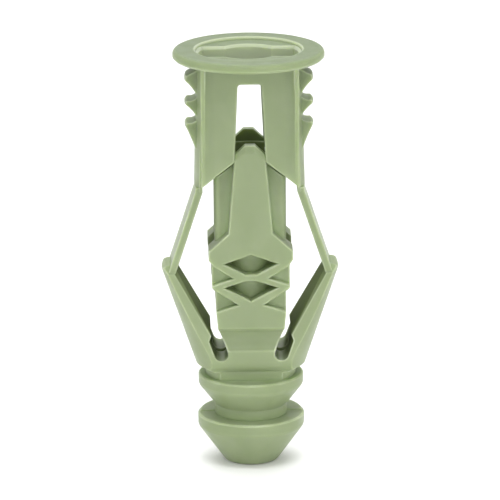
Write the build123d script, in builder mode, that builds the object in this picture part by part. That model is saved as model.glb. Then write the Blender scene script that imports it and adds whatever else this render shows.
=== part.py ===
from build123d import *
from math import asin, atan2, cos, hypot, radians, sin, tan
import os

os.makedirs("parts", exist_ok=True)

# Plastic drywall anchor, moulded in one piece and shown as moulded, with its wings open.
# Sizes are in millimetres. Z is the screw's axis, and the nose end stands at Z = 0.
# The two wings open in the XZ plane. The two jaws face each other across that plane.

# Head: a thin round flange with a shallow round recess
total_length = 31.75
flange_radius = 5.65
flange_thickness = 0.69
flange_top_round = 0.34
flange_bottom_bevel = 0.16
recess_radius = 3.97
recess_depth = 0.22
recess_edge_bevel = 0.1

# Way in for the screw: a round bore, and a slot that crosses it in the wings' plane
screw_bore_radius = 2.3
slot_half_width = 1.54
slot_end_radius = 3.72
entry_edge_bevel = 0.18

# Collar: four legs under the flange, with a window between them front and back
leg_reach = 3.63
leg_face = 3.15
window_top_drop = 1.35
window_half_width = 0.88
window_draft = 2.7
window_corner = 0.24
leg_end_drop = 7.26
leg_end_slope = 0.77
leg_edge_bevel = 0.06

# Fins on the legs' outer corners, which fade out downwards
fin_foot = 2.62
fin_width = 0.3
fin_reach_top = 3.75
fin_reach_bottom = 3.22
fin_crest_bevel = 0.07

# Side straps of the collar, which end in the bends at the struts' tops
strap_radius = 4.15
strap_draft = 1.3
strap_half_width = 1.75
strap_length = 9.86

# Three hooked teeth on each strap, round like the drilled hole's wall
tooth_reach = 4.79
tooth_root = 3.93
tooth_half_width = 1.0
tooth_first_shoulder_drop = 0.72
tooth_first_tip_drop = 1.25
tooth_shelf_drop = 3.04
tooth_pitch = 1.68
tooth_tip_height = 0.28
tooth_hollow_height = 0.35
tooth_hollow_reach = 4.42
tooth_hollow_depth = 0.05
tooth_last_flank_drop = 2.5
tooth_flank_hollow = 0.05
tooth_tip_round = 0.1

# Struts, thin straight bars from the straps down to the wings' knees
strut_top_reach = 4.07
strut_thickness = 0.55
strut_half_width = 1.7
strut_foot_outset = 0.1

# Wings: bars that lean outwards, with a round back like the drilled hole's wall
wing_back_radius = 4.12
wing_slope = 0.343
wing_foot_height = 7.72
wing_foot_taper = 0.5
knee_reach = 6.06
knee_height = 14.9
knee_radius = 0.58
wing_inner_bend_reach = 3.89
wing_inner_bend_height = 12.05
wing_heel_reach = 3.0
wing_heel_height = 10.4
wing_half_width_knee = 1.78
knee_face_bevel = 0.55
wing_bevel_at_heel = 0.05
wing_bevel_at_knee = 0.28
wing_bevel_slope = 1.6

# Slots between the wings and the jaws, with a round floor
gap_outer_reach = 3.16
gap_outer_height = 9.95
gap_floor_height = 8.49
gap_floor_radius = 0.53
gap_floor_reach = 2.25

# Jaws: two bars that rise from the root, in front of and behind the screw
jaw_face = 3.15
jaw_waist_half_width = 1.75
jaw_waist_height = 9.1
jaw_foot_half_width = 2.48
jaw_foot_height = 11.0
jaw_low_half_width = 2.62
jaw_low_height = 13.85
jaw_middle_half_width = 2.9
jaw_middle_bottom = 14.2
jaw_middle_top = 16.0
jaw_shoulder_half_width = 3.14
jaw_shoulder_bottom = 16.35
jaw_shoulder_top = 17.0

# Rib on each jaw's face, which narrows upwards to a bevelled tip between the legs.
# The rises are measured from the legs' inner ends.
rib_foot_half_width = 1.66
rib_foot_height = 18.35
rib_top_half_width = 1.2
rib_side_rise = -0.1
rib_top_rise = 0.1
tip_rise = 1.24
tip_half_width = 0.37
tip_shoulder_rise = 0.45
tip_bevel_depth = 0.25
tip_face_half_width = 0.34
tip_face_rise = 0.67
tip_ledge_rise = 0.32
tip_ledge_offset = 2.25
jaw_edge_bevel = 0.08

# Flanks of the jaws beside the rib, set back, with their tops parallel to the legs' ends
flank_half_width = 2.67
flank_face = 2.1
flank_round = 0.45
flank_gap = 0.35

# Lattice on the jaws' faces: two diamond pockets with open notches on both sides
pocket_core_radius = 2.15
diamond_half_width = 1.97
diamond_flat_half_width = 0.42
upper_diamond_top = 16.72
upper_diamond_middle = 16.01
upper_diamond_bottom = 15.2
lower_diamond_top = 14.68
lower_diamond_middle = 14.17
lower_diamond_bottom = 13.16
notch_upper_slope = 0.65
notch_lower_slope = -0.31
upper_notch_reach = 1.33
upper_notch_height = 14.88
upper_notch_floor = 2.62
lower_notch_reach = 0.98
lower_notch_height = 12.85
jaw_side_step_drop = 0.4
lower_notch_floor_top = 2.15
lower_notch_floor_bottom = 2.65

# Bending waist: a round scoop across the foot of each jaw
scoop_radius = 0.95
scoop_offset = 3.51
scoop_height = 10.1

# Root block that joins jaws, wings and nose
root_face = 3.05
root_face_top = 8.95
root_face_bend = 4.0
root_face_bottom = 8.45
root_undercut_height = 7.53
root_underside = 7.4
root_edge_bevel = 0.06

# Space between the jaws, left by the blade that forms it through the slot
blade_foot_height = 8.0
blade_foot_half_thickness = 0.38
blade_taper_drop = 1.8
blade_foot_reach = 2.9
blade_top_reach = 3.2
blade_step_height = 10.9

# Screw's channel between the jaws, and its pilot bore through the nose
channel_top_radius = 2.1
channel_top_rise = 0.2
pilot_radius = 1.35
pilot_top_height = 9.0
pilot_taper_height = 2.8
pilot_exit_radius = 0.8

# Nose: two rings that grip the wall, and a blunt cone that leads them in
nose_end_radius = 1.98
nose_end_round = 0.36
ring_radius = 4.0
ring_bottom = 2.81
ring_top = 3.7
ring_edge_bevel = 0.1
neck_radius = 2.73
neck_top = 4.45
upper_ring_radius = 3.95
upper_ring_bottom = 6.03
upper_ring_top = 6.83
upper_neck_radius = 3.42
upper_neck_flat = 2.5
parting_step = 0.09

# Heights that follow from the sizes above
flange_underside = total_length - flange_thickness
strap_bottom = flange_underside - strap_length
window_top = flange_underside - window_top_drop
leg_inner_end = flange_underside - leg_end_drop
rib_side_height = leg_inner_end + rib_side_rise
rib_top_height = leg_inner_end + rib_top_rise
tip_shoulder_height = leg_inner_end + tip_shoulder_rise
tip_face_height = leg_inner_end + tip_face_rise
tip_ledge_height = leg_inner_end + tip_ledge_rise
tip_height = leg_inner_end + tip_rise
blade_taper_height = leg_inner_end - blade_taper_drop
channel_top_height = leg_inner_end + channel_top_rise
first_tip_height = flange_underside - tooth_first_tip_drop
second_shelf_height = flange_underside - tooth_shelf_drop
third_shelf_height = second_shelf_height - tooth_pitch

# Corners of the wing's outline that follow from the sizes above
wing_foot = (wing_back_radius, wing_foot_height)
wing_inner_bend = (wing_inner_bend_reach, wing_inner_bend_height)
knee_centre = (knee_reach, knee_height)
gap_outer = (gap_outer_reach, gap_outer_height)
gap_centre = (gap_floor_reach, gap_floor_height + gap_floor_radius)

# How far one region runs into the next, so that they join
bite = 0.3

# How far a cut runs on beyond the material
run_out = 1.0

# Largest error that still counts as the same place
closeness = 0.001


def mirrored(points):
    """Close an outline of the +X side with its mirror image across the axis."""
    return points + [(-x, z) for x, z in reversed(points)]


def window_half_width_at(height):
    """Half the window's width, which grows downwards by its draft."""
    return window_half_width + (window_top - height) * tan(radians(window_draft))


def leg_end_at(reach):
    """Height of the legs' slanted ends at a distance from the axis."""
    inner_reach = window_half_width_at(leg_inner_end)
    return leg_inner_end - leg_end_slope * (reach - inner_reach)


# Head: flange with its recess
with BuildPart() as head:
    with BuildSketch(Plane.XY.offset(flange_underside)):
        Circle(flange_radius)
    extrude(amount=flange_thickness)
    fillet(head.edges().filter_by(GeomType.CIRCLE).sort_by(Axis.Z)[-1], flange_top_round)
    chamfer(head.edges().filter_by(GeomType.CIRCLE).sort_by(Axis.Z)[0], flange_bottom_bevel)
    with BuildSketch(Plane.XY.offset(total_length)):
        Circle(recess_radius)
    extrude(amount=-recess_depth, mode=Mode.SUBTRACT)
    recess_rim = head.edges().filter_by(GeomType.CIRCLE).group_by(Axis.Z)[-1]
    chamfer(recess_rim.sort_by(SortBy.RADIUS)[0], recess_edge_bevel)

# Legs: a block with slanted ends and a window through it
with BuildPart() as legs:
    with BuildSketch(Plane.XZ):
        Polygon(
            *mirrored(
                [
                    (leg_reach, flange_underside + bite),
                    (leg_reach, leg_end_at(leg_reach)),
                    (window_half_width_at(leg_inner_end), leg_inner_end),
                ]
            ),
            align=None,
        )
    extrude(amount=leg_face, both=True)
    with BuildSketch(Plane.XZ) as window:
        Polygon(
            *mirrored(
                [
                    (window_half_width_at(leg_inner_end - run_out), leg_inner_end - run_out),
                    (window_half_width, window_top),
                ]
            ),
            align=None,
        )
        fillet(window.vertices().group_by(Axis.Y)[-1], window_corner)
    extrude(amount=flange_radius, both=True, mode=Mode.SUBTRACT)
    face_edges = legs.faces().filter_by(Axis.Y).edges()
    chamfer(
        face_edges.filter_by(
            lambda e: abs(e.center().X) < leg_reach - closeness and e.center().Z < flange_underside
        ),
        leg_edge_bevel,
    )


def fin_section(reach):
    """Section of the fin on one corner, hollow on the side of the leg's face."""
    hollow = TangentArc((fin_foot, leg_face), (leg_reach - fin_width, reach), tangent=(1, 0))
    Polyline(
        hollow @ 1,
        (leg_reach - fin_crest_bevel, reach),
        (leg_reach, reach - fin_crest_bevel),
        (leg_reach, leg_face - bite),
        (fin_foot, leg_face - bite),
        hollow @ 0,
    )


# Fins: four, each a loft from its full height to almost nothing
with BuildPart() as fins:
    with BuildSketch(Plane.XY.offset(flange_underside + bite)):
        with BuildLine():
            fin_section(fin_reach_top)
        make_face()
    with BuildSketch(Plane.XY.offset(leg_end_at(leg_reach))):
        with BuildLine():
            fin_section(fin_reach_bottom)
        make_face()
    loft(ruled=True)
    with BuildSketch(Plane.XZ):
        Polygon(
            (fin_foot - run_out, leg_end_at(fin_foot - run_out)),
            (leg_reach + run_out, leg_end_at(leg_reach + run_out)),
            (fin_foot - run_out, leg_end_at(leg_reach + run_out) - run_out),
            align=None,
        )
    extrude(amount=flange_radius, both=True, mode=Mode.SUBTRACT)
    mirror(about=Plane.XZ)
    mirror(about=Plane.YZ)

# Straps: the collar's two round sides, which run on below the legs to the struts' bends
with BuildPart() as straps:
    with BuildSketch(Plane.XY.offset(strap_bottom)):
        Circle(strap_radius)
    extrude(amount=strap_length + bite, taper=strap_draft)
    with BuildSketch(Plane.XY.offset(strap_bottom)):
        Rectangle(3 * strap_radius, 2 * strap_half_width)
        Circle(slot_end_radius, mode=Mode.SUBTRACT)
    extrude(amount=strap_length + bite, mode=Mode.INTERSECT)
    with BuildSketch(Plane.XZ):
        with Locations((0, strap_bottom)):
            Rectangle(2 * (strut_top_reach - strut_thickness), 2 * (leg_end_at(leg_reach) - strap_bottom))
    extrude(amount=strap_radius, both=True, mode=Mode.SUBTRACT)


def tooth_flank(tip_height, flank_end):
    """Slightly hollow underside of a tooth, from its tip in to its lower end on the strap."""
    return ThreePointArc(
        (tooth_reach, tip_height),
        (
            (tooth_reach + tooth_root) / 2 - tooth_flank_hollow,
            (tip_height + flank_end) / 2 + tooth_flank_hollow,
        ),
        (tooth_root, flank_end),
    )


def tooth_section(shelf, flank_end):
    """Outline of one tooth: a hollow, a flat shelf, a blunt tip and a hollow flank."""
    hollow_top = shelf + tooth_hollow_height
    hollow = ThreePointArc(
        (tooth_root, hollow_top),
        (
            (tooth_root + tooth_hollow_reach) / 2 - tooth_hollow_depth,
            (hollow_top + shelf) / 2 - tooth_hollow_depth,
        ),
        (tooth_hollow_reach, shelf),
    )
    tip = Polyline(
        hollow @ 1,
        (tooth_reach - tooth_tip_round, shelf),
        (tooth_reach, shelf - tooth_tip_round),
        (tooth_reach, shelf - tooth_tip_height),
    )
    flank = tooth_flank(shelf - tooth_tip_height, flank_end)
    Polyline(
        flank @ 1,
        (tooth_root - bite, flank_end),
        (tooth_root - bite, hollow_top),
        hollow @ 0,
    )


# Teeth: the first one slants up to the collar, the last one has a long flank
with BuildPart() as teeth:
    with BuildSketch(Plane.XZ):
        with BuildLine():
            first_flank = tooth_flank(
                first_tip_height - tooth_tip_height,
                second_shelf_height + tooth_hollow_height,
            )
            Polyline(
                first_flank @ 1,
                (tooth_root - bite, second_shelf_height + tooth_hollow_height),
                (tooth_root - bite, flange_underside - tooth_first_shoulder_drop),
                (tooth_root, flange_underside - tooth_first_shoulder_drop),
                (tooth_reach - tooth_tip_round / 2, first_tip_height + tooth_tip_round),
                (tooth_reach, first_tip_height - tooth_tip_round),
                first_flank @ 0,
            )
        make_face()
        with BuildLine():
            tooth_section(second_shelf_height, third_shelf_height + tooth_hollow_height)
        make_face()
        with BuildLine():
            tooth_section(third_shelf_height, third_shelf_height - tooth_last_flank_drop)
        make_face()
    revolve(axis=Axis.Z)
    with BuildSketch(Plane.XY.offset(strap_bottom)):
        Rectangle(4 * tooth_reach, 2 * tooth_half_width)
    extrude(amount=strap_length, mode=Mode.INTERSECT)

# Struts: from the straps' ends down into the wings' knees
with BuildPart() as struts:
    with BuildSketch(Plane.XZ):
        Polygon(
            (strut_top_reach, strap_bottom + bite),
            (strut_top_reach, strap_bottom),
            (knee_reach + strut_foot_outset, knee_height),
            (knee_reach + strut_foot_outset - strut_thickness, knee_height),
            (strut_top_reach - strut_thickness, strap_bottom),
            (strut_top_reach - strut_thickness, strap_bottom + bite),
            align=None,
        )
    extrude(amount=strut_half_width, both=True)
    mirror(about=Plane.YZ)


def touching(start, centre, radius, side):
    """Where a line from start touches a circle, on its right (1) or left (-1) side going up."""
    run = centre[0] - start[0]
    rise = centre[1] - start[1]
    lean = atan2(run, rise) + side * asin(radius / hypot(run, rise))
    return (centre[0] + side * radius * cos(lean), centre[1] - side * radius * sin(lean))


# Wing and root, one side: an outline in the wings' plane, then its depth and its round back
with BuildPart() as wing:
    with BuildSketch(Plane.XZ):
        with BuildLine():
            outer_touch = touching(wing_foot, knee_centre, knee_radius, 1)
            inner_touch = touching(wing_inner_bend, knee_centre, knee_radius, -1)
            Polyline(
                inner_touch,
                wing_inner_bend,
                (wing_heel_reach, wing_heel_height),
                gap_outer,
                touching(gap_outer, gap_centre, gap_floor_radius, -1),
                gap_centre,
                (0, gap_centre[1]),
                (0, root_underside),
                (wing_back_radius - wing_foot_taper, root_underside),
                wing_foot,
                outer_touch,
            )
            ThreePointArc(outer_touch, (knee_reach, knee_height + knee_radius), inner_touch)
        make_face()
        with Locations(gap_centre):
            Circle(gap_floor_radius, mode=Mode.SUBTRACT)
    extrude(amount=root_face, both=True)
    with BuildSketch(Plane.YZ) as side_view:
        with BuildLine():
            undercut = TangentArc(
                (root_face, root_face_bottom),
                (upper_neck_flat, root_undercut_height),
                tangent=(0, -1),
            )
            Polyline(
                undercut @ 1,
                (upper_neck_flat, root_underside),
                (0, root_underside),
                (0, knee_height + knee_radius),
                (wing_half_width_knee - knee_face_bevel, knee_height + knee_radius),
                (wing_half_width_knee, knee_height),
                (root_face, root_face_top),
                undercut @ 0,
            )
        make_face()
        bend = side_view.vertices().sort_by_distance((root_face, root_face_top))[0]
        fillet(bend, root_face_bend)
        mirror(about=Plane.YZ)
    extrude(amount=2 * flange_radius, both=True, mode=Mode.INTERSECT)



def wing_bevel_section(height, width):
    """What the bevel takes off the wing's inner front edge at a height."""
    up_heel_to_knee = (height - wing_heel_height) / (inner_touch[1] - wing_heel_height)
    inner = wing_heel_reach + (inner_touch[0] - wing_heel_reach) * up_heel_to_knee
    up_face = (height - root_face_top) / (knee_height - root_face_top)
    face = root_face + (wing_half_width_knee - root_face) * up_face
    Polygon(
        (inner - bite, face + wing_bevel_slope * bite),
        (inner - bite, face - wing_bevel_slope * (width + bite)),
        (inner + width + bite, face + wing_bevel_slope * bite),
        align=None,
    )


# Bevels on the wing's inner edges, which widen from the heel up to the knee
with BuildPart() as wing_bevels:
    with BuildSketch(Plane.XY.offset(wing_heel_height)):
        wing_bevel_section(wing_heel_height, wing_bevel_at_heel)
    with BuildSketch(Plane.XY.offset(knee_height + knee_radius)):
        wing_bevel_section(knee_height + knee_radius, wing_bevel_at_knee)
    loft(ruled=True)
    mirror(about=Plane.XZ)

# The drilled hole's round wall, leant outwards with the wing
with BuildPart() as wing_back:
    with BuildSketch(Plane.XY.offset(wing_foot_height)):
        Circle(wing_back_radius)
    with BuildSketch(Plane.XY.offset(knee_height + run_out)):
        with Locations((wing_slope * (knee_height + run_out - wing_foot_height), 0)):
            Circle(wing_back_radius)
    loft(ruled=True)
    with BuildSketch(Plane.XY.offset(root_underside)):
        Circle(wing_back_radius - wing_foot_taper)
    with BuildSketch(Plane.XY.offset(wing_foot_height)):
        Circle(wing_back_radius)
    loft(ruled=True)

with BuildPart() as wings:
    add(wing)
    add(wing_bevels, mode=Mode.SUBTRACT)
    add(wing_back, mode=Mode.INTERSECT)
    mirror(about=Plane.YZ)

# Jaws: flanks, and the ribbed face in front of them
with BuildPart() as jaws:
    with BuildSketch(Plane.XZ):
        Polygon(
            *mirrored(
                [
                    (jaw_waist_half_width, gap_floor_height),
                    (jaw_waist_half_width, jaw_waist_height),
                    (jaw_foot_half_width, jaw_foot_height),
                    (jaw_low_half_width, lower_notch_height - jaw_side_step_drop),
                    (jaw_low_half_width, jaw_low_height),
                    (jaw_middle_half_width, jaw_middle_bottom),
                    (jaw_middle_half_width, jaw_middle_top),
                    (jaw_shoulder_half_width, jaw_shoulder_bottom),
                    (jaw_shoulder_half_width, jaw_shoulder_top),
                    (rib_foot_half_width, rib_foot_height),
                    (rib_top_half_width, rib_side_height),
                ]
            ),
            align=None,
        )
    extrude(amount=jaw_face, both=True)
    with BuildSketch(Plane.XZ):
        Polygon(
            *mirrored(
                [
                    (rib_top_half_width, rib_side_height),
                    (rib_top_half_width, tip_shoulder_height),
                    (tip_half_width, tip_height),
                ]
            ),
            align=None,
        )
    extrude(amount=jaw_face - tip_bevel_depth, both=True)
    with BuildSketch(Plane.XZ.offset(jaw_face - tip_bevel_depth)):
        Polygon(
            *mirrored(
                [
                    (rib_top_half_width, rib_side_height),
                    (rib_top_half_width, tip_shoulder_height),
                    (tip_half_width, tip_height),
                ]
            ),
            align=None,
        )
    with BuildSketch(Plane.XZ.offset(jaw_face)):
        Polygon(
            *mirrored(
                [
                    (rib_top_half_width, rib_side_height),
                    (rib_top_half_width, rib_top_height),
                    (tip_face_half_width, tip_face_height),
                ]
            ),
            align=None,
        )
    loft(ruled=True)
    mirror(about=Plane.XZ)


# Flanks: a slab with rounded corners, cut off parallel to the legs' ends
with BuildPart() as flanks:
    with BuildSketch(Plane.XY.offset(jaw_shoulder_bottom)):
        RectangleRounded(2 * flank_half_width, 2 * flank_face, flank_round)
    extrude(amount=leg_inner_end - flank_gap - jaw_shoulder_bottom)
    with BuildSketch(Plane.XZ):
        Polygon(
            *mirrored(
                [
                    (0, jaw_shoulder_bottom),
                    (leg_reach, jaw_shoulder_bottom),
                    (leg_reach, leg_end_at(leg_reach) - flank_gap),
                    (rib_top_half_width, leg_end_at(rib_top_half_width) - flank_gap),
                ]
            ),
            align=None,
        )
    extrude(amount=jaw_face, both=True, mode=Mode.INTERSECT)

# Pockets: the diamonds, down to a round core
with BuildPart() as pockets:
    with BuildSketch(Plane.XZ):
        Polygon(
            *mirrored(
                [
                    (0, upper_diamond_top),
                    (diamond_half_width, upper_diamond_middle),
                    (diamond_flat_half_width, upper_diamond_bottom),
                ]
            ),
            align=None,
        )
        Polygon(
            *mirrored(
                [
                    (diamond_flat_half_width, lower_diamond_top),
                    (diamond_half_width, lower_diamond_middle),
                    (0, lower_diamond_bottom),
                ]
            ),
            align=None,
        )
    extrude(amount=jaw_face + bite, both=True)
    with BuildSketch(Plane.XY.offset(lower_diamond_bottom - run_out)):
        Circle(pocket_core_radius)
    extrude(amount=upper_diamond_top - lower_diamond_bottom + 2 * run_out, mode=Mode.SUBTRACT)


def notch_outline(reach, height):
    """Corner points of a side notch that opens outwards from its apex."""
    run = jaw_shoulder_half_width + bite - reach
    return [
        (reach, height),
        (reach + run, height + notch_upper_slope * run),
        (reach + run, height + notch_lower_slope * run),
    ]


# Upper notches, with a flat floor
with BuildPart() as upper_notches:
    with BuildSketch(Plane.XZ.offset(upper_notch_floor)):
        Polygon(*notch_outline(upper_notch_reach, upper_notch_height), align=None)
    extrude(amount=jaw_face - upper_notch_floor + bite)
    mirror(about=Plane.XZ)
    mirror(about=Plane.YZ)

# Lower notches, with a floor that rises towards their lower edges
with BuildPart() as lower_notches:
    with BuildSketch(Plane.XZ):
        Polygon(*notch_outline(lower_notch_reach, lower_notch_height), align=None)
    extrude(amount=-jaw_face - bite)
    with BuildSketch(Plane.YZ):
        Polygon(
            (lower_notch_floor_top, lower_diamond_middle),
            (lower_notch_floor_bottom, jaw_foot_height + run_out),
            (jaw_face + 2 * bite, jaw_foot_height + run_out),
            (jaw_face + 2 * bite, lower_diamond_middle),
            align=None,
        )
    extrude(amount=flange_radius, mode=Mode.INTERSECT)
    mirror(about=Plane.XZ)
    mirror(about=Plane.YZ)

# Scoops across the waists, and the set-back of the block below them
with BuildPart() as scoops:
    with BuildSketch(Plane.YZ):
        with Locations((scoop_offset, scoop_height)):
            Circle(scoop_radius)
        Polygon(
            (root_face, root_undercut_height),
            (root_face, scoop_height),
            (jaw_face + bite, scoop_height),
            (jaw_face + bite, root_undercut_height),
            align=None,
        )
    extrude(amount=flange_radius, both=True)
    mirror(about=Plane.XZ)

# Space between the jaws
with BuildPart() as blade:
    with BuildSketch(Plane.YZ):
        Polygon(
            *mirrored(
                [
                    (blade_foot_half_thickness, blade_foot_height),
                    (slot_half_width, blade_taper_height),
                    (slot_half_width, tip_ledge_height),
                    (tip_ledge_offset, tip_ledge_height),
                    (tip_ledge_offset, tip_height + run_out),
                ]
            ),
            align=None,
        )
    extrude(amount=flange_radius, both=True)
    with BuildSketch(Plane.XZ):
        Polygon(
            *mirrored(
                [
                    (blade_foot_reach, blade_foot_height - run_out),
                    (blade_foot_reach, blade_step_height),
                    (blade_top_reach, blade_step_height + 2 * bite),
                    (blade_top_reach, tip_height + run_out),
                ]
            ),
            align=None,
        )
    extrude(amount=flange_radius, both=True, mode=Mode.INTERSECT)

# Screw's way: pilot bore, widening channel and collar bore, all round the one axis
with BuildPart() as screw_way:
    with BuildSketch(Plane.XZ):
        Polygon(
            (0, -run_out),
            (pilot_exit_radius, -run_out),
            (pilot_exit_radius, 0),
            (pilot_radius, pilot_taper_height),
            (pilot_radius, pilot_top_height),
            (channel_top_radius, channel_top_height),
            (screw_bore_radius, tip_height),
            (screw_bore_radius, total_length + run_out),
            (0, total_length + run_out),
            align=None,
        )
    revolve(axis=Axis.Z)

# Slot of the collar, with ends that follow the straps
with BuildPart() as slot:
    with BuildSketch(Plane.XY.offset(leg_end_at(leg_reach) - run_out)):
        Rectangle(2 * flange_radius, 2 * slot_half_width)
        Circle(slot_end_radius, mode=Mode.INTERSECT)
    extrude(amount=total_length)

# Nose: rings, necks and cone, turned round the axis, with two flats on the upper neck
with BuildPart() as nose:
    with BuildSketch(Plane.XZ) as nose_profile:
        Polygon(
            (0, 0),
            (nose_end_radius, 0),
            (ring_radius, ring_bottom),
            (ring_radius, ring_top),
            (neck_radius, ring_top),
            (neck_radius, neck_top),
            (upper_ring_radius, upper_ring_bottom),
            (upper_ring_radius, upper_ring_top),
            (upper_neck_radius, upper_ring_top),
            (upper_neck_radius, root_undercut_height),
            (0, root_undercut_height),
            align=None,
        )
        ring_corners = nose_profile.vertices().filter_by(lambda v: v.X > upper_ring_radius - closeness)
        chamfer(ring_corners, ring_edge_bevel)
    revolve(axis=Axis.Z)
    fillet(nose.edges().group_by(Axis.Z)[0], nose_end_round)
    with BuildSketch(Plane.XY.offset(upper_ring_top)):
        Circle(upper_ring_radius)
        Rectangle(4 * ring_radius, 2 * upper_neck_flat, mode=Mode.SUBTRACT)
    extrude(amount=root_undercut_height - upper_ring_top, mode=Mode.SUBTRACT)
    with BuildSketch(Plane.XY.offset(ring_top)):
        with Locations((0, ring_radius)):
            Rectangle(2 * ring_radius, 2 * ring_radius)
        Circle(ring_radius - ring_edge_bevel, mode=Mode.INTERSECT)
    extrude(amount=parting_step, taper=45)

# The whole moulding
with BuildPart() as jaw_pair:
    add(jaws)
    add(pockets, mode=Mode.SUBTRACT)
    add(upper_notches, mode=Mode.SUBTRACT)
    add(lower_notches, mode=Mode.SUBTRACT)
    add(scoops, mode=Mode.SUBTRACT)
    face_edges = jaw_pair.faces().filter_by(
        lambda f: f.geom_type == GeomType.PLANE and abs(abs(f.center().Y) - jaw_face) < closeness
    ).edges()
    chamfer(
        face_edges.filter_by(lambda e: abs(e.center().X) < jaw_foot_half_width),
        jaw_edge_bevel,
    )
    root_faces = jaw_pair.faces().filter_by(
        lambda f: f.geom_type == GeomType.PLANE and abs(abs(f.center().Y) - root_face) < closeness
    )
    for block_face in root_faces:
        chamfer(block_face.edges().sort_by(Axis.Z)[-1], root_edge_bevel)
    add(flanks)

with BuildPart() as anchor_body:
    add(wings)
    add(jaw_pair)
    add(blade, mode=Mode.SUBTRACT)
    add(nose)
    add(legs)
    add(fins)
    add(head)
    add(slot, mode=Mode.SUBTRACT)
    add(straps)
    add(teeth)
    add(struts)
    add(screw_way, mode=Mode.SUBTRACT)
    entry_rims = anchor_body.edges().filter_by(
        lambda e: abs(e.center().Z - total_length + recess_depth) < closeness
        and hypot(e.center().X, e.center().Y) < slot_end_radius + closeness
    )
    chamfer(entry_rims, entry_edge_bevel)

anchor_body.part.label = "anchor_body"
export_step(anchor_body.part, "parts/anchor_body.step")
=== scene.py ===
import math

import bpy
from mathutils import Matrix, Vector

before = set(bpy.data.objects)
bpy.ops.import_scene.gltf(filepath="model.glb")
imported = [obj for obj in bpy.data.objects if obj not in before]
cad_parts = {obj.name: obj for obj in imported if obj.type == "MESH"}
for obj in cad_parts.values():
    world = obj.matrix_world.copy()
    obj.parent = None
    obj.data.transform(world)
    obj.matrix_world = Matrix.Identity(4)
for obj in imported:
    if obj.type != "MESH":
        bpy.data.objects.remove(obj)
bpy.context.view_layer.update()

MM = 0.001

# Colours of the moulded plastic, a pale sage green, and of the painted light and shade laid
# over it, in linear red, green and blue.
PLASTIC = (0.228, 0.278, 0.154)
PLASTIC_LIGHT = (0.244, 0.294, 0.169)
PLASTIC_DEEP = (0.212, 0.263, 0.139)
# Painted highlight and painted light: the pale tone laid on edges and on the slot's walls.
PAINTED_LIGHT_PALE = (0.460, 0.515, 0.370)
# Painted shade: the dark olive laid in hollows, gaps and on inner faces.
PAINTED_SHADE_OLIVE = (0.088, 0.122, 0.030)
# Painted bounce light: the paler, fuller green laid in shallow hollows.
PAINTED_BOUNCE_GREEN = (0.335, 0.440, 0.215)
# Painted shade: the darker tone laid on the flange's flat top.
PAINTED_SHADE_TOP = (0.182, 0.230, 0.128)
CLOUD_STOPS = ((0.30, PLASTIC_DEEP), (0.52, PLASTIC), (0.74, PLASTIC_LIGHT))

# How the plastic takes light: a satin skin over a body that lets a little light in.
PLASTIC_BODY = {
    "IOR": 1.48,
    "Specular IOR Level": 0.24,
    "Subsurface Weight": 0.65,
    "Subsurface Radius": (1.0, 1.1, 0.6),
    "Subsurface Scale": 1.1 * MM,
}

# Patterns of noise in the plastic: scale per metre, detail and distortion.
CLOUDS = (260.0, 3.0, 0.6)
EDGE_PATCHES = (500.0, 2.0, 0.0)
DULL_PATCHES = (700.0, 2.0, 0.0)
SINK_WAVES = (900.0, 1.0, 0.0)
GRAIN = (9000.0, 2.0, 0.0)

# Reliefs that two of the patterns give the skin: strength and depth.
SINK_RELIEF = (0.25, 0.05 * MM)
GRAIN_RELIEF = (0.10, 0.02 * MM)

# Radius of the moulded edges, and how near another wall is at a thin edge, a hollow or a gap.
EDGE_RADIUS = 0.05 * MM
EDGE_SAMPLES = 6
EDGE_REACH = 0.15 * MM
HOLLOW_REACH = 0.9 * MM
GAP_REACH = 3.5 * MM
REACH_SAMPLES = 8

# Fades: a low and a high reading, and the value given at each of them; most of them place the
# painted light and shade.
# Read from the height above the nose's end.
ABOVE_RINGS = (6.6 * MM, 7.2 * MM, 0.0, 1.0)
BELOW_HEAD = (27.5 * MM, 30.0 * MM, 1.0, 0.0)
IN_HEAD = (28.5 * MM, 30.0 * MM, 0.0, 1.0)
# Read from the lean of the surface, where 1 faces up and -1 faces down.
UPTURNED = (-0.25, 0.35, 0.15, 1.0)
DOWNTURNED = (-0.20, 0.35, 1.0, 0.2)
FLAT_TOP = (0.60, 0.95, 0.0, 1.0)
# Read from how clear a place is of other walls, where 1 is fully clear.
THIN_EDGE = (0.74, 0.985, 1.0, 0.0)
SHALLOW = (0.35, 0.85, 0.75, 0.0)
DEEP = (0.05, 0.36, 0.80, 0.0)
BURIED = (0.12, 0.44, 0.90, 0.0)
# Read from how far a face looks away from the screw's axis.
INNER_FACE = (-0.75, -0.15, 0.80, 0.0)
SLOT_WALL = (-0.35, -0.10, 0.90, 0.0)
# Read from a pattern: the unevenness of the painted pale edges and the roughness of the open
# skin.
UNEVENNESS = (0.35, 0.65, 0.35, 1.0)
DULLNESS = (0.3, 0.7, 0.32, 0.44)
# Read from how hidden a place is: the roughness there.
MATTNESS = (0.0, 0.8, 0.0, 0.95)

# The pale floor, in metres and in linear grey.
FLOOR_RADIUS = 1.6
FLOOR_SIDES = 96
FLOOR_MOTTLE = (40.0, 2.0, 0.0)
FLOOR_STOPS = ((0.3, (0.93, 0.93, 0.93)), (0.7, (0.95, 0.95, 0.95)))
FLOOR_FINISH = {"Roughness": 0.8, "Specular IOR Level": 0.2}

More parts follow.
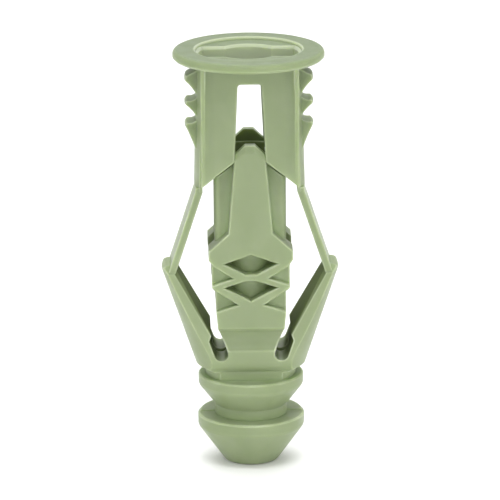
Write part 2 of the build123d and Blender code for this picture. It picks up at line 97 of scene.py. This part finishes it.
# The light: a white tent all round, and panels. Each panel's row is its place and size in
# metres, its power in watts, its tint, the point that it faces and its spread in degrees.
TENT_COLOUR = (1.0, 1.0, 1.0, 1.0)
TENT_STRENGTH = 0.75
COOL = (0.95, 0.985, 1.0)
WARM = (1.0, 0.98, 0.95)
PLAIN = (1.0, 1.0, 1.0)
MIDDLE = (0.0, 0.0, 0.016)
PANELS = {
    "top_panel": ((-0.03, -0.27, 0.36), (0.34, 0.34), 0.20, COOL, MIDDLE, 180.0),
    "left_panel": ((-0.38, -0.34, 0.09), (0.30, 0.16), 0.06, WARM, MIDDLE, 180.0),
    "right_panel": ((0.38, -0.34, 0.09), (0.30, 0.16), 0.24, WARM, MIDDLE, 180.0),
    "front_panel": ((0.0, -0.48, 0.12), (0.50, 0.24), 0.22, WARM, MIDDLE, 180.0),
    "low_panel": ((0.0, -0.16, 0.012), (0.08, 0.015), 0.0018, WARM, (0.0, 0.0, -0.002), 24.0),
    "back_panel": ((0.0, 0.26, 0.42), (0.50, 0.40), 0.80, PLAIN, (0.0, 0.10, 0.0), 120.0),
    "floor_panel": ((0.0, -0.17, 0.30), (0.30, 0.14), 0.24, PLAIN, (0.0, -0.13, 0.0), 50.0),
}

# The photograph's view: a long lens, a little above the anchor and slightly left of its front.
LOOK_AT = Vector((0.0000075, 0.0, 0.01626))
DISTANCE = 0.3708
ELEVATION = math.radians(15.3)
YAW = math.radians(1.27)
ROLL = math.radians(0.4377)
SENSOR_WIDTH_MM = 36.0
FOCAL_LENGTH_MM = 356.4
CLIP_START = 0.02
CLIP_END = 20.0


def new_material(name):
    made = bpy.data.materials.new(name)
    made.use_nodes = True
    tree = made.node_tree
    coordinates = tree.nodes.new("ShaderNodeTexCoord")
    return made, tree, tree.nodes["Principled BSDF"], coordinates


def set_inputs(node, values):
    for name, value in values.items():
        node.inputs[name].default_value = value


def link(tree, source, output, target, socket):
    tree.links.new(source.outputs[output], target.inputs[socket])


def noise(tree, coordinates, pattern):
    """The value of a noise pattern that is fixed to the object."""
    scale, detail, distortion = pattern
    made = tree.nodes.new("ShaderNodeTexNoise")
    set_inputs(made, {"Scale": scale, "Detail": detail, "Distortion": distortion})
    link(tree, coordinates, "Object", made, "Vector")
    return made.outputs["Fac"]


def ramp(tree, source, stops):
    """The colour that the stops give for a value."""
    made = tree.nodes.new("ShaderNodeValToRGB")
    points = made.color_ramp.elements
    while len(points) < len(stops):
        points.new(0.5)
    for point, (place, colour) in zip(points, stops):
        point.position = place
        point.color = (*colour, 1.0)
    tree.links.new(source, made.inputs["Fac"])
    return made.outputs["Color"]


def graded(tree, source, fade):
    """The value that a fade gives for a reading."""
    low, high, at_low, at_high = fade
    made = tree.nodes.new("ShaderNodeMapRange")
    set_inputs(
        made, {"From Min": low, "From Max": high, "To Min": at_low, "To Max": at_high}
    )
    tree.links.new(source, made.inputs["Value"])
    return made.outputs["Result"]


def combined(tree, operation, first, *others):
    """Values joined one after the other by a maths operation."""
    for other in others:
        made = tree.nodes.new("ShaderNodeMath")
        made.operation = operation
        tree.links.new(first, made.inputs[0])
        tree.links.new(other, made.inputs[1])
        first = made.outputs["Value"]
    return first


def blend(tree, share, colour, tone):
    """A colour, replaced by a fixed tone as far as the share says."""
    made = tree.nodes.new("ShaderNodeMix")
    made.data_type = "RGBA"
    tree.links.new(share, made.inputs["Factor"])
    tree.links.new(colour, made.inputs["A"])
    made.inputs["B"].default_value = (*tone, 1.0)
    return made.outputs["Result"]


def clearance(tree, reach, behind):
    """How clear a place is of other walls within reach, in front of it or behind it."""
    made = tree.nodes.new("ShaderNodeAmbientOcclusion")
    made.samples = REACH_SAMPLES
    made.inside = behind
    made.only_local = True
    made.inputs["Distance"].default_value = reach
    return made.outputs["AO"]


def upward_part(tree, source, output):
    made = tree.nodes.new("ShaderNodeSeparateXYZ")
    link(tree, source, output, made, "Vector")
    return made.outputs["Z"]


def outward(tree, coordinates):
    """How far a face looks away from the screw's axis: 1 is straight out, -1 straight in."""
    flat = tree.nodes.new("ShaderNodeVectorMath")
    flat.operation = "MULTIPLY"
    link(tree, coordinates, "Object", flat, 0)
    flat.inputs[1].default_value = (1.0, 1.0, 0.0)
    unit = tree.nodes.new("ShaderNodeVectorMath")
    unit.operation = "NORMALIZE"
    link(tree, flat, "Vector", unit, 0)
    facing = tree.nodes.new("ShaderNodeVectorMath")
    facing.operation = "DOT_PRODUCT"
    link(tree, unit, "Vector", facing, 0)
    link(tree, coordinates, "Normal", facing, 1)
    return facing.outputs["Value"]


def bump(tree, pattern, relief, under):
    """A relief from a pattern, laid over the surface of another node."""
    strength, depth = relief
    made = tree.nodes.new("ShaderNodeBump")
    set_inputs(made, {"Strength": strength, "Distance": depth})
    tree.links.new(pattern, made.inputs["Height"])
    link(tree, under, "Normal", made, "Normal")
    return made


def paint_light_and_shade(tree, coordinates, rounded, base):
    """Paint light and shade into the plastic's colour by the place on the anchor; also tell
    how hidden each place is.
    """
    height = upward_part(tree, coordinates, "Object")
    below_head = graded(tree, height, BELOW_HEAD)
    in_head = graded(tree, height, IN_HEAD)
    lean = upward_part(tree, rounded, "Normal")
    facing = outward(tree, coordinates)

    # Painted shade: the flange's flat, upward-facing top is painted a little darker.
    shaded_top = combined(tree, "MULTIPLY", graded(tree, lean, FLAT_TOP), in_head)
    toned = blend(tree, shaded_top, base, PAINTED_SHADE_TOP)

    # Painted highlight: edges are painted paler, unevenly, and mostly where they turn up
    # towards the light.
    highlight_edges = graded(tree, clearance(tree, EDGE_REACH, True), THIN_EDGE)
    uneven = graded(tree, noise(tree, coordinates, EDGE_PATCHES), UNEVENNESS)
    upturned = graded(tree, lean, UPTURNED)
    toned = blend(tree, combined(tree, "MULTIPLY", highlight_edges, uneven, upturned), toned, PAINTED_LIGHT_PALE)

    # Painted bounce light: below the flange, shallow hollows are painted a paler, fuller
    # green, standing in for light that goes from wall to wall.
    hollows = clearance(tree, HOLLOW_REACH, False)
    lit_hollows = combined(tree, "MULTIPLY", graded(tree, hollows, SHALLOW), below_head)
    toned = blend(tree, lit_hollows, toned, PAINTED_BOUNCE_GREEN)

    # Painted shade: deep hollows are painted a dark olive, most of all on faces that turn
    # down.
    downturned = graded(tree, lean, DOWNTURNED)
    shaded_hollows = graded(tree, hollows, DEEP)
    shaded_hollows = combined(tree, "MULTIPLY", shaded_hollows, downturned, below_head)
    toned = blend(tree, shaded_hollows, toned, PAINTED_SHADE_OLIVE)

    # Painted shade: so are the wide gaps between the collar, the jaws and the wings.
    shaded_gaps = graded(tree, clearance(tree, GAP_REACH, False), BURIED)
    above_rings = graded(tree, height, ABOVE_RINGS)
    shaded_gaps = combined(tree, "MULTIPLY", shaded_gaps, above_rings, below_head, downturned)
    toned = blend(tree, shaded_gaps, toned, PAINTED_SHADE_OLIVE)

    # Painted shade: so are the faces below the flange that look towards the screw.
    shaded_inner_faces = combined(tree, "MULTIPLY", graded(tree, facing, INNER_FACE), below_head)
    toned = blend(tree, shaded_inner_faces, toned, PAINTED_SHADE_OLIVE)

    # Painted light: the walls of the slot in the flange are painted paler, standing in for
    # light that reaches them.
    lit_slot_wall = combined(tree, "MULTIPLY", graded(tree, facing, SLOT_WALL), in_head)
    toned = blend(tree, lit_slot_wall, toned, PAINTED_LIGHT_PALE)

    return toned, combined(tree, "MAXIMUM", shaded_inner_faces, shaded_gaps)


def moulded_plastic():
    made, tree, shader, coordinates = new_material("moulded_plastic_satin")

    # Faint flow clouding in the colour, as the melt leaves in a thin moulding.
    base = ramp(tree, noise(tree, coordinates, CLOUDS), CLOUD_STOPS)

    rounded = tree.nodes.new("ShaderNodeBevel")
    rounded.samples = EDGE_SAMPLES
    rounded.inputs["Radius"].default_value = EDGE_RADIUS
    toned, hidden = paint_light_and_shade(tree, coordinates, rounded, base)
    tree.links.new(toned, shader.inputs["Base Color"])

    # The skin is satin, a little duller in patches, and matt in gaps and on inner faces.
    dullness = graded(tree, noise(tree, coordinates, DULL_PATCHES), DULLNESS)
    roughness = combined(tree, "MAXIMUM", dullness, graded(tree, hidden, MATTNESS))
    tree.links.new(roughness, shader.inputs["Roughness"])

    # Fine spark-eroded grain, with slow waves of sink over it.
    grain = bump(tree, noise(tree, coordinates, GRAIN), GRAIN_RELIEF, rounded)
    waves = bump(tree, noise(tree, coordinates, SINK_WAVES), SINK_RELIEF, grain)
    link(tree, waves, "Normal", shader, "Normal")

    set_inputs(shader, PLASTIC_BODY)
    return made


def floor_material():
    made, tree, shader, coordinates = new_material("pale_floor")
    tone = ramp(tree, noise(tree, coordinates, FLOOR_MOTTLE), FLOOR_STOPS)
    tree.links.new(tone, shader.inputs["Base Color"])
    set_inputs(shader, FLOOR_FINISH)
    return made


def add_panel(name, place, size, power, tint, aim, spread):
    data = bpy.data.lights.new(name, "AREA")
    data.color = tint
    data.spread = math.radians(spread)
    data.shape = "RECTANGLE"
    data.size, data.size_y = size
    data.energy = power
    lamp = bpy.data.objects.new(name, data)
    lamp.location = place
    lamp.rotation_mode = "QUATERNION"
    lamp.rotation_quaternion = (Vector(aim) - Vector(place)).to_track_quat("-Z", "Y")
    bpy.context.scene.collection.objects.link(lamp)


def add_camera():
    forward = Vector(
        (
            math.sin(YAW) * math.cos(ELEVATION),
            math.cos(YAW) * math.cos(ELEVATION),
            -math.sin(ELEVATION),
        )
    )
    level = Vector((math.cos(YAW), -math.sin(YAW), 0.0))
    upright = level.cross(forward)
    right = level * math.cos(ROLL) - upright * math.sin(ROLL)
    up = upright * math.cos(ROLL) + level * math.sin(ROLL)

    lens = bpy.data.cameras.new("view")
    lens.sensor_width = SENSOR_WIDTH_MM
    lens.lens = FOCAL_LENGTH_MM
    lens.clip_start = CLIP_START
    lens.clip_end = CLIP_END
    camera = bpy.data.objects.new("view", lens)
    camera.matrix_world = Matrix.Translation(LOOK_AT - forward * DISTANCE) @ Matrix(
        (
            (right.x, up.x, -forward.x, 0.0),
            (right.y, up.y, -forward.y, 0.0),
            (right.z, up.z, -forward.z, 0.0),
            (0.0, 0.0, 0.0, 1.0),
        )
    )
    bpy.context.scene.collection.objects.link(camera)
    bpy.context.scene.camera = camera


# The anchor itself, in its plastic.
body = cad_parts["anchor_body"]
plastic = moulded_plastic()
for place in body.material_slots:
    place.material = plastic

# The floor it stands on.
bpy.ops.mesh.primitive_circle_add(
    vertices=FLOOR_SIDES, radius=FLOOR_RADIUS, fill_type="NGON", location=(0, 0, 0)
)
floor = bpy.context.object
floor.name = "floor"
floor.data.materials.append(floor_material())

# The light and the view.
bpy.context.scene.view_settings.view_transform = "Standard"
world = bpy.data.worlds.new("tent")
world.use_nodes = True
set_inputs(
    world.node_tree.nodes["Background"], {"Color": TENT_COLOUR, "Strength": TENT_STRENGTH}
)
bpy.context.scene.world = world
for panel_name, row in PANELS.items():
    add_panel(panel_name, *row)
add_camera()
